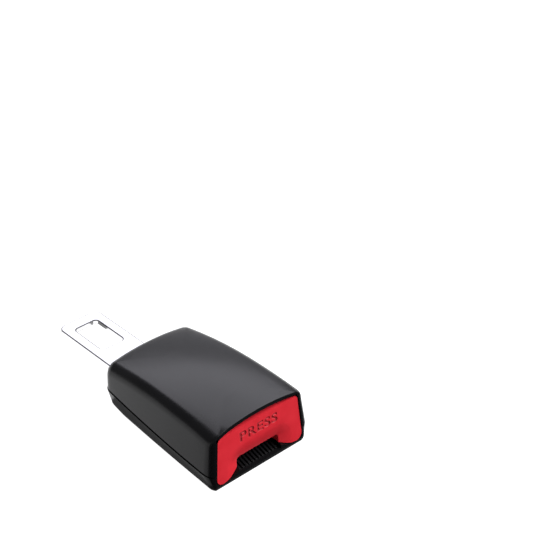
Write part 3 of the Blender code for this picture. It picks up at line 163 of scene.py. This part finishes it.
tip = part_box("tongue_plate")[1]
cover_low, cover_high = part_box("lower_cover")
cards = {
    "front_card": (-CARD_WIDTH / 2, cover_low.y - CARD_MARGIN - CARD_DEPTH,
                   CARD_WIDTH / 2, cover_low.y - CARD_MARGIN),
    "painted_shadow_under_part": (cover_low.x - CARD_MARGIN, cover_low.y - CARD_MARGIN,
                   cover_high.x + CARD_MARGIN, cover_high.y + CARD_MARGIN),
    "painted_shadow_round_tip": (-tip.x, tip.y - TIP_REACH, tip.x + TIP_SHADE, tip.y + TIP_SHADE),
    "painted_shadow_beside_tip": (tip.x - SIDE_REACH, tip.y - TIP_REACH - SIDE_SHADE,
                  tip.x + TIP_SHADE, tip.y - TIP_REACH),
}
for name, (left, front, right, back) in cards.items():
    bpy.ops.object.select_all(action="DESELECT")
    bpy.ops.mesh.primitive_plane_add(
        size=1.0, location=((left + right) / 2, (front + back) / 2, CARD_LIFT))
    bpy.ops.transform.resize(value=(right - left, back - front, 1.0))
    card = bpy.context.object
    card.name = name
    card.visible_camera = False
    card.visible_shadow = False
    card.data.materials.append(velvet if name == "front_card" else shadow_felt)


# Lights. The key light stands in front on the right and lights the button, and a faint one hangs
# overhead. Two soft boxes behind on the right, one above the other, give the top skin its grey
# sheen, which fades to the rear. Places and sizes are in metres, powers in watts. The room is dim.
ROOM_GLOW = 0.25
COOL_WHITE = linear("#F7F6FF")[:3]


def soft_box(name, place, width, height, power):
    """A rectangular area light at a place, turned to the part."""
    bpy.ops.object.light_add(type="AREA", location=place)
    lamp = bpy.context.object
    lamp.name = name
    lamp.data.shape = "RECTANGLE"
    lamp.data.size = width
    lamp.data.size_y = height
    lamp.data.energy = power
    lamp.rotation_euler = (-Vector(place)).to_track_quat("-Z", "Y").to_euler()
    return lamp


soft_box("key_light", (0.94, -0.87, 0.98), 1.1, 1.1, 38.0)
soft_box("overhead_light", (-0.1, -0.3, 1.9), 1.5, 1.3, 3.0)
soft_box("sheen_light", (0.53, 0.82, 1.05), 1.4, 0.85, 18.0).data.color = COOL_WHITE
soft_box("rear_light", (0.75, 1.15, 0.42), 1.4, 0.7, 2.2).data.color = COOL_WHITE

world = bpy.data.worlds.new("studio_room")
world.use_nodes = True
world.node_tree.nodes["Background"].inputs["Color"].default_value = linear("#FFFFFF")
world.node_tree.nodes["Background"].inputs["Strength"].default_value = ROOM_GLOW
scene.world = world


# Covers. The upper and lower halves of the housing are moulded in charcoal ABS. The mould is
# spark-eroded, so the skin has a fine even grain that spreads the light into a satin sheen. The
# lower half's skin is the same with a lower specular level, so its sides mirror less of the table
# and look darker: painted shade near the table. Four snap hooks hold the halves together.
GRAIN_MM = 0.35
CLOUD_MM = 18.0
GRAIN_RELIEF = 0.03 * MM
MERGE_GAP = 0.002 * MM
MOULDED_ANGLE = 35
VISOR_LEVEL = 20.0 * MM
VISOR_ROUND = 0.9 * MM
FRONT_NORMAL = 0.95
UNDER_NORMAL = 0.8
COPLANAR_ANGLE = 0.2

# A pattern on Object coordinates, which are in metres, has 1000 divided by its size in mm as scale.
OBJECT_SCALE_PER_MM = 1000.0


def node(tree, kind, links=(), **settings):
    """Adds a node, sets its inputs and properties, and links inputs to other nodes' outputs."""
    added = tree.nodes.new(kind)
    for name, value in settings.items():
        if name in added.inputs:
            added.inputs[name].default_value = value
        else:
            setattr(added, name, value)
    for socket, output in links:
        tree.links.new(output, added.inputs[socket])
    return added


charcoal = bpy.data.materials.new("charcoal ABS, spark-eroded satin")
charcoal.use_nodes = True
tree = charcoal.node_tree
shader = tree.nodes["Principled BSDF"]
place = node(tree, "ShaderNodeTexCoord")
grain = node(tree, "ShaderNodeTexNoise", [("Vector", place.outputs["Object"])],
             Scale=OBJECT_SCALE_PER_MM / GRAIN_MM, Detail=2.0, Roughness=0.5)
cloud = node(tree, "ShaderNodeTexNoise", [("Vector", place.outputs["Object"])],
             Scale=OBJECT_SCALE_PER_MM / CLOUD_MM, Detail=3.0, Roughness=0.6)
tone = node(tree, "ShaderNodeValToRGB", [("Fac", cloud.outputs["Fac"])])
tone.color_ramp.elements[0].position = 0.3
tone.color_ramp.elements[0].color = linear("#0E0E10")
tone.color_ramp.elements[1].position = 0.7
tone.color_ramp.elements[1].color = linear("#131315")
gloss = node(tree, "ShaderNodeMapRange", [("Value", grain.outputs["Fac"])])
gloss.inputs["To Min"].default_value = 0.23
gloss.inputs["To Max"].default_value = 0.29
bump = node(tree, "ShaderNodeBump", [("Height", grain.outputs["Fac"])],
            Strength=0.12, Distance=GRAIN_RELIEF)
tree.links.new(tone.outputs["Color"], shader.inputs["Base Color"])
tree.links.new(gloss.outputs["Result"], shader.inputs["Roughness"])
tree.links.new(bump.outputs["Normal"], shader.inputs["Normal"])
shader.inputs["IOR"].default_value = 1.5
shader.inputs["Specular IOR Level"].default_value = 0.16

# The lower half's copy reflects less and looks darker: painted shade near the table.
charcoal_shaded_low = charcoal.copy()
charcoal_shaded_low.name = "charcoal ABS, lower half dimmed as painted shade"
charcoal_shaded_low_shader = charcoal_shaded_low.node_tree.nodes["Principled BSDF"]
charcoal_shaded_low_shader.inputs["Specular IOR Level"].default_value = 0.12


def shade(item, angle):
    """Smooth shading up to an angle, with each corner's normal led by the largest face round it."""
    bpy.ops.object.select_all(action="DESELECT")
    bpy.context.view_layer.objects.active = item
    item.select_set(True)
    bpy.ops.object.shade_smooth_by_angle(angle=math.radians(angle))
    weigh = item.modifiers.new("weigh_normals", "WEIGHTED_NORMAL")
    weigh.weight = 100
    weigh.keep_sharp = True
    bpy.ops.object.modifier_apply(modifier=weigh.name)


def smooth_copy(name, source):
    """A copy of a CAD node's solid with its corners merged, shaded smooth across its facets."""
    bpy.ops.object.select_all(action="DESELECT")
    copy = bpy.data.objects.new(name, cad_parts[source].data.copy())
    scene.collection.objects.link(copy)
    bpy.context.view_layer.objects.active = copy
    copy.select_set(True)
    bpy.ops.object.mode_set(mode="EDIT")
    bpy.ops.mesh.select_all(action="SELECT")
    bpy.ops.mesh.remove_doubles(threshold=MERGE_GAP)
    bpy.ops.mesh.customdata_custom_splitnormals_clear()
    bpy.ops.object.mode_set(mode="OBJECT")
    copy.data.materials.clear()
    shade(copy, MOULDED_ANGLE)
    return copy


def round_visor(item):
    """Rounds the lower edge of the visor over the button, which the mould leaves soft."""
    bpy.ops.object.select_all(action="DESELECT")
    bpy.context.view_layer.objects.active = item
    item.select_set(True)
    bpy.ops.object.mode_set(mode="EDIT")
    bpy.ops.mesh.select_mode(type="FACE")
    bpy.ops.mesh.select_all(action="SELECT")
    bpy.ops.mesh.dissolve_limited(angle_limit=math.radians(COPLANAR_ANGLE))
    bpy.ops.mesh.select_mode(type="EDGE")
    bpy.ops.mesh.select_all(action="DESELECT")
    work = bmesh.from_edit_mesh(item.data)
    for edge in work.edges:
        normals = [face.normal for face in edge.link_faces]
        front = any(normal.y < -FRONT_NORMAL for normal in normals)
        below = any(normal.z < -UNDER_NORMAL for normal in normals)
        high = min(vertex.co.z for vertex in edge.verts) > VISOR_LEVEL
        edge.select_set(front and below and high)
    bmesh.update_edit_mesh(item.data)
    bpy.ops.mesh.bevel(offset=VISOR_ROUND, segments=4, profile=0.5, affect="EDGES")
    bpy.ops.mesh.select_mode(type="FACE")
    bpy.ops.object.mode_set(mode="OBJECT")
    shade(item, MOULDED_ANGLE)


for cover_node, cover_skin in (("upper_cover", charcoal), ("lower_cover", charcoal_shaded_low)):
    moulding = smooth_copy(cover_node + "_moulding", cover_node)
    if cover_node == "upper_cover":
        round_visor(moulding)
    moulding.data.materials.append(cover_skin)
    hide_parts(cover_node)
    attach(moulding, "housing")


# Push button. It is moulded in red ABS with a polished face, softened edges and a dished
# lead-in to the slot; the word on its face is sunk by the mould, as on any such button.
LEGEND_HEIGHT = 4.7 * MM
LEGEND_WIDTH = 20.0 * MM
LEGEND_DEPTH = 0.4 * MM
LEGEND_DRAFT = 0.22 * MM
LEGEND_SPACING = 1.12
LEGEND_CENTRE_Z = 19.7 * MM
LEGEND_CAPITAL = 0.7
TOOL_THICKNESS = 1.0 * MM
FACE_RAKE = 0.06
FACE_SLACK = 0.1 * MM
RED_CLOUD_MM = 6.0
RED_GRAIN_MM = 0.5
RED_RELIEF = 0.02 * MM

red = bpy.data.materials.new("red ABS, polished mould")
red.use_nodes = True
tree = red.node_tree
shader = tree.nodes["Principled BSDF"]
place = node(tree, "ShaderNodeTexCoord")
cloud = node(tree, "ShaderNodeTexNoise", [("Vector", place.outputs["Object"])],
             Scale=OBJECT_SCALE_PER_MM / RED_CLOUD_MM, Detail=2.0, Roughness=0.5)
tone = node(tree, "ShaderNodeValToRGB", [("Fac", cloud.outputs["Fac"])])
tone.color_ramp.elements[0].position = 0.3
tone.color_ramp.elements[0].color = linear("#DA2A36")
tone.color_ramp.elements[1].position = 0.7
tone.color_ramp.elements[1].color = linear("#E2303C")
grain = node(tree, "ShaderNodeTexNoise", [("Vector", place.outputs["Object"])],
             Scale=OBJECT_SCALE_PER_MM / RED_GRAIN_MM, Detail=1.0)
bump = node(tree, "ShaderNodeBump", [("Height", grain.outputs["Fac"])],
            Strength=0.05, Distance=RED_RELIEF)
tree.links.new(tone.outputs["Color"], shader.inputs["Base Color"])
tree.links.new(bump.outputs["Normal"], shader.inputs["Normal"])
shader.inputs["Roughness"].default_value = 0.3
shader.inputs["IOR"].default_value = 1.5
shader.inputs["Specular IOR Level"].default_value = 0.5
shader.inputs["Coat Weight"].default_value = 0.5
shader.inputs["Coat Roughness"].default_value = 0.12

# A matt copy of the red, darker in colour: painted shade inside the sunk letters.
legend_shade_red = red.copy()
legend_shade_red.name = "red ABS, legend darkened as painted shade"
legend_shade_shader = legend_shade_red.node_tree.nodes["Principled BSDF"]
legend_shade_tone = [item for item in legend_shade_red.node_tree.nodes if item.type == "VALTORGB"][0]
legend_shade_tone.color_ramp.elements[0].color = linear("#A81A26")
legend_shade_tone.color_ramp.elements[1].color = linear("#B01E2A")
legend_shade_shader.inputs["Roughness"].default_value = 0.7
legend_shade_shader.inputs["Coat Weight"].default_value = 0.0

button = smooth_copy("press_button_moulding", "press_button")
button_low, button_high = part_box("press_button")

# The legend's tool is the word as a solid with a draft, scaled to its place on the raked face.
bpy.ops.object.select_all(action="DESELECT")
bpy.ops.object.text_add()
legend = bpy.context.object
legend.data.body = "PRESS"
legend.data.size = LEGEND_HEIGHT / LEGEND_CAPITAL
legend.data.space_character = LEGEND_SPACING
legend.data.extrude = TOOL_THICKNESS
legend.data.bevel_depth = LEGEND_DRAFT
legend.data.bevel_resolution = 0
legend.data.align_x = "CENTER"
legend.data.align_y = "CENTER"
bpy.ops.object.convert(target="MESH")
legend = bpy.context.object
points = [vertex.co for vertex in legend.data.vertices]
low_corner = Vector([min(point[i] for point in points) for i in range(3)])
high_corner = Vector([max(point[i] for point in points) for i in range(3)])
middle = (low_corner + high_corner) / 2
span = high_corner - low_corner
fit = Matrix.Diagonal((LEGEND_WIDTH / span.x, LEGEND_HEIGHT / span.y, 1.0, 1.0))
stand = Matrix.Rotation(math.pi / 2 + math.atan(-FACE_RAKE), 4, "X")
face_y = button_low.y + FACE_RAKE * (LEGEND_CENTRE_Z - button_low.z)
put = Matrix.Translation((0.0, face_y + LEGEND_DEPTH - span.z / 2, LEGEND_CENTRE_Z))
legend.data.transform(put @ stand @ fit @ Matrix.Translation(-middle))
legend.name = "legend_tool"

# The tool is sunk into the face, and the faces sunk in each letter get a matt, darker red: painted
# shade in the recess.
bpy.context.view_layer.objects.active = button
sink = button.modifiers.new("sink_legend", "BOOLEAN")
sink.operation = "DIFFERENCE"
sink.object = legend
sink.solver = "EXACT"
sink.use_self = True
bpy.ops.object.select_all(action="DESELECT")
button.select_set(True)
bpy.ops.object.modifier_apply(modifier=sink.name)
bpy.data.objects.remove(legend, do_unlink=True)
shade(button, MOULDED_ANGLE)
button.data.materials.clear()
button.data.materials.append(red)
button.data.materials.append(legend_shade_red)
# Faces sunk in the letters take the darker red, painted shade.
for face in button.data.polygons:
    middle = face.center
    plane_y = button_low.y + FACE_RAKE * (middle.z - button_low.z)
    in_legend = (abs(middle.x) < LEGEND_WIDTH / 2 + LEGEND_DRAFT
                 and abs(middle.z - LEGEND_CENTRE_Z) < LEGEND_HEIGHT / 2 + LEGEND_DRAFT)
    behind = FACE_SLACK < middle.y - plane_y < LEGEND_DEPTH + FACE_SLACK
    face.material_index = 1 if in_legend and behind else 0
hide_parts("press_button")
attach(button, "button")


# Tongue. It is stamped from 2.2 mm steel with a window for the other buckle's latch, tumbled and
# nickel plated. A coined band and a softened edge run round it and the window, so that it slides
# into a buckle. The band's tilt darkens it, and the band and the edge also get a darker plate
# colour, painted shade; the cut walls get a brighter one, painted highlight, than the flat faces.
TONGUE_CORNER = 3.8 * MM
WINDOW_WIDTH = 12.2 * MM
WINDOW_LENGTH = 21.0 * MM
WINDOW_CORNER = 2.0 * MM
TIP_BAR = 6.1 * MM
COINED_BAND = 0.45 * MM
COINED_DROP = 0.1 * MM
EDGE_ROUND = 0.25 * MM
RIVET_RADIUS = 2.0 * MM
RIVET_CLEARANCE = 0.3 * MM
RIVET_TOOL_LENGTH = 6.0 * MM
RUB_MM = 3.0
EDGE_ANGLE = 60
STAMPED_ANGLE = 10
FLAT_NORMAL = 0.995
WALL_NORMAL = 0.1

plated = bpy.data.materials.new("bright nickel plate, tumbled")
plated.use_nodes = True
tree = plated.node_tree
shader = tree.nodes["Principled BSDF"]
place = node(tree, "ShaderNodeTexCoord")
rub = node(tree, "ShaderNodeTexNoise", [("Vector", place.outputs["Object"])],
           Scale=OBJECT_SCALE_PER_MM / RUB_MM, Detail=4.0, Roughness=0.6)
gloss = node(tree, "ShaderNodeMapRange", [("Value", rub.outputs["Fac"])])
gloss.inputs["To Min"].default_value = 0.1
gloss.inputs["To Max"].default_value = 0.2
tree.links.new(gloss.outputs["Result"], shader.inputs["Roughness"])
shader.inputs["Base Color"].default_value = linear("#8E8E90")
shader.inputs["Metallic"].default_value = 1.0

# Darker copy of the plate for the band and the rounded edges: painted shade.
shaded_edge_plate = plated.copy()
shaded_edge_plate.name = "nickel plate darkened on the coined edge as painted shade"
shaded_edge_shader = shaded_edge_plate.node_tree.nodes["Principled BSDF"]
for link in list(shaded_edge_shader.inputs["Roughness"].links):
    shaded_edge_plate.node_tree.links.remove(link)
shaded_edge_shader.inputs["Roughness"].default_value = 0.3
shaded_edge_shader.inputs["Base Color"].default_value = linear("#3C3C3E")

# Brighter copy of the plate for the cut walls: painted highlight.
highlit_wall_plate = plated.copy()
highlit_wall_plate.name = "bright nickel plate over a burnished cut"
highlit_wall_shader = highlit_wall_plate.node_tree.nodes["Principled BSDF"]
highlit_wall_shader.inputs["Base Color"].default_value = linear("#F0F0F2")


def rounded_block(name, low, high, corner_places, radius):
    """A block whose upright edges near the given places in plan are rounded."""
    bpy.ops.object.select_all(action="DESELECT")
    bpy.ops.mesh.primitive_cube_add(size=1.0, location=(low + high) / 2)
    block = bpy.context.object
    block.name = name
    block.scale = high - low
    bpy.ops.object.transform_apply(location=True, rotation=False, scale=True)
    bpy.ops.object.mode_set(mode="EDIT")
    bpy.ops.mesh.select_mode(type="EDGE")
    bpy.ops.mesh.select_all(action="DESELECT")
    work = bmesh.from_edit_mesh(block.data)
    for edge in work.edges:
        one, other = edge.verts
        upright = abs(one.co.z - other.co.z) > (high.z - low.z) / 2
        near = any((one.co.xy - spot).length < radius / 2 for spot in corner_places)
        edge.select_set(upright and near)
    bmesh.update_edit_mesh(block.data)
    bpy.ops.mesh.bevel(offset=radius, segments=10, profile=0.5, affect="EDGES")
    bpy.ops.object.mode_set(mode="OBJECT")
    return block


def cut_away(item, tool):
    """Cuts a tool from a piece and removes the tool."""
    bpy.ops.object.select_all(action="DESELECT")
    bpy.context.view_layer.objects.active = item
    item.select_set(True)
    cut = item.modifiers.new("cut", "BOOLEAN")
    cut.operation = "DIFFERENCE"
    cut.object = tool
    cut.solver = "EXACT"
    bpy.ops.object.modifier_apply(modifier=cut.name)
    bpy.data.objects.remove(tool, do_unlink=True)


tongue_low, tongue_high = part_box("tongue_plate")
tip_corners = [Vector((x, tongue_high.y)) for x in (tongue_low.x, tongue_high.x)]
tongue = rounded_block("tongue_stamping", tongue_low, tongue_high, tip_corners, TONGUE_CORNER)
window_high = Vector((WINDOW_WIDTH / 2, tongue_high.y - TIP_BAR, tongue_high.z + MM))
window_low = Vector((-WINDOW_WIDTH / 2, window_high.y - WINDOW_LENGTH, tongue_low.z - MM))
window_corners = [Vector((x, y)) for x in (window_low.x, window_high.x)
                  for y in (window_low.y, window_high.y)]
cut_away(tongue, rounded_block("window_tool", window_low, window_high, window_corners, WINDOW_CORNER))
for rivet_node in ("tongue_rivet_left", "tongue_rivet_right"):
    rivet_low, rivet_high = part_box(rivet_node)
    middle = (rivet_low + rivet_high) / 2
    bpy.ops.object.select_all(action="DESELECT")
    bpy.ops.mesh.primitive_cylinder_add(
        vertices=48, radius=RIVET_RADIUS + RIVET_CLEARANCE, depth=RIVET_TOOL_LENGTH,
        location=(middle.x, middle.y, (tongue_low.z + tongue_high.z) / 2))
    cut_away(tongue, bpy.context.object)

# The coined band: the top is inset, and its border is pressed down a little.
bpy.ops.object.select_all(action="DESELECT")
bpy.context.view_layer.objects.active = tongue
tongue.select_set(True)
bpy.ops.object.mode_set(mode="EDIT")
bpy.ops.mesh.select_mode(type="FACE")
bpy.ops.mesh.select_all(action="DESELECT")
work = bmesh.from_edit_mesh(tongue.data)
for face in work.faces:
    face.select_set(face.normal.z > FLAT_NORMAL)
bmesh.update_edit_mesh(tongue.data)
bpy.ops.mesh.inset(thickness=COINED_BAND)
work = bmesh.from_edit_mesh(tongue.data)
for vertex in work.verts:
    if vertex.co.z > tongue_high.z - COINED_DROP and not vertex.select:
        vertex.co.z -= COINED_DROP
bmesh.update_edit_mesh(tongue.data)
bpy.ops.object.mode_set(mode="OBJECT")
soften = tongue.modifiers.new("soften_edges", "BEVEL")
soften.width = EDGE_ROUND
soften.segments = 4
soften.limit_method = "ANGLE"
soften.angle_limit = math.radians(EDGE_ANGLE)
bpy.ops.object.modifier_apply(modifier=soften.name)
shade(tongue, STAMPED_ANGLE)
for finish in (plated, shaded_edge_plate, highlit_wall_plate):
    tongue.data.materials.append(finish)
# Flat faces keep the plate; the band and edges take the darker copy, painted shade; the upright walls
# take the brighter copy, painted highlight.
for face in tongue.data.polygons:
    flatness = abs(face.normal.z)
    if flatness > FLAT_NORMAL:
        face.material_index = 0
    elif flatness > WALL_NORMAL:
        face.material_index = 1
    else:
        face.material_index = 2
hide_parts("tongue_plate")
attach(tongue, "housing")


# Steel inside. The frame and the latch are pressed from sheet, the lock bar is blanked, and the
# pin, rivets and washers are turned. All are zinc plated, which gives a dull cool grey.
SPANGLE_MM = 2.0

zinc = bpy.data.materials.new("zinc plate on pressed steel")
zinc.use_nodes = True
tree = zinc.node_tree
shader = tree.nodes["Principled BSDF"]
place = node(tree, "ShaderNodeTexCoord")
spangle = node(tree, "ShaderNodeTexNoise", [("Vector", place.outputs["Object"])],
               Scale=OBJECT_SCALE_PER_MM / SPANGLE_MM, Detail=3.0)
tone = node(tree, "ShaderNodeValToRGB", [("Fac", spangle.outputs["Fac"])])
tone.color_ramp.elements[0].color = linear("#B4B7BA")
tone.color_ramp.elements[1].color = linear("#CDD0D3")
tree.links.new(tone.outputs["Color"], shader.inputs["Base Color"])
shader.inputs["Metallic"].default_value = 1.0
shader.inputs["Roughness"].default_value = 0.35

steel_bodies = {"latch_frame": "housing", "latch_plate": "latch", "pivot_pin": "housing",
                "lock_bar": "locking_bar", "tongue_rivet_left": "housing",
                "tongue_rivet_right": "housing", "rivet_washer_left": "housing",
                "rivet_washer_right": "housing"}
for steel_node, body in steel_bodies.items():
    steel = smooth_copy(steel_node + "_pressing", steel_node)
    steel.data.materials.append(zinc)
    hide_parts(steel_node)
    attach(steel, body)


# Springs and clip. They are bare spring steel, drawn and stress-relieved to a dark sheen. The
# button's and the ejector's springs are attached to the housing, and the latch's spring stays
# where it stands.
DRAWING_MM = 1.0

spring_steel = bpy.data.materials.new("drawn spring steel")
spring_steel.use_nodes = True
tree = spring_steel.node_tree
shader = tree.nodes["Principled BSDF"]
place = node(tree, "ShaderNodeTexCoord")
draw = node(tree, "ShaderNodeTexNoise", [("Vector", place.outputs["Object"])],
            Scale=OBJECT_SCALE_PER_MM / DRAWING_MM, Detail=2.0)
gloss = node(tree, "ShaderNodeMapRange", [("Value", draw.outputs["Fac"])])
gloss.inputs["To Min"].default_value = 0.22
gloss.inputs["To Max"].default_value = 0.36
tree.links.new(gloss.outputs["Result"], shader.inputs["Roughness"])
shader.inputs["Base Color"].default_value = linear("#8E8F93")
shader.inputs["Metallic"].default_value = 1.0

clip = smooth_copy("pivot_clip_bent", "pivot_clip")
clip.data.materials.append(spring_steel)
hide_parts("pivot_clip")
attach(clip, "housing")

spring_joints = {"ejector_spring": "ejector_slide", "button_spring_left": "button_press",
                 "button_spring_right": "button_press"}
for spring_node, joint_name in spring_joints.items():
    coil = smooth_copy(spring_node + "_coil", spring_node)
    coil.data.materials.append(spring_steel)
    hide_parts(spring_node)
    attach(coil, "housing")
    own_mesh(coil)

latch_coil = smooth_copy("latch_spring_coil", "latch_spring")
latch_coil.data.materials.append(spring_steel)
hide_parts("latch_spring")
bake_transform(latch_coil)


# Ejector. It is moulded in natural acetal, a slippery milky plastic with a soft gloss, and slides
# in the frame.
FLOW_MM = 4.0

acetal = bpy.data.materials.new("natural acetal, moulded")
acetal.use_nodes = True
tree = acetal.node_tree
shader = tree.nodes["Principled BSDF"]
place = node(tree, "ShaderNodeTexCoord")
flow = node(tree, "ShaderNodeTexNoise", [("Vector", place.outputs["Object"])],
            Scale=OBJECT_SCALE_PER_MM / FLOW_MM, Detail=2.0)
tone = node(tree, "ShaderNodeValToRGB", [("Fac", flow.outputs["Fac"])])
tone.color_ramp.elements[0].color = linear("#DEDBD2")
tone.color_ramp.elements[1].color = linear("#E9E6DE")
tree.links.new(tone.outputs["Color"], shader.inputs["Base Color"])
shader.inputs["Roughness"].default_value = 0.42
shader.inputs["IOR"].default_value = 1.48

ejector = smooth_copy("ejector_moulding", "ejector")
ejector.data.materials.append(acetal)
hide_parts("ejector")
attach(ejector, "ejecting_slider")
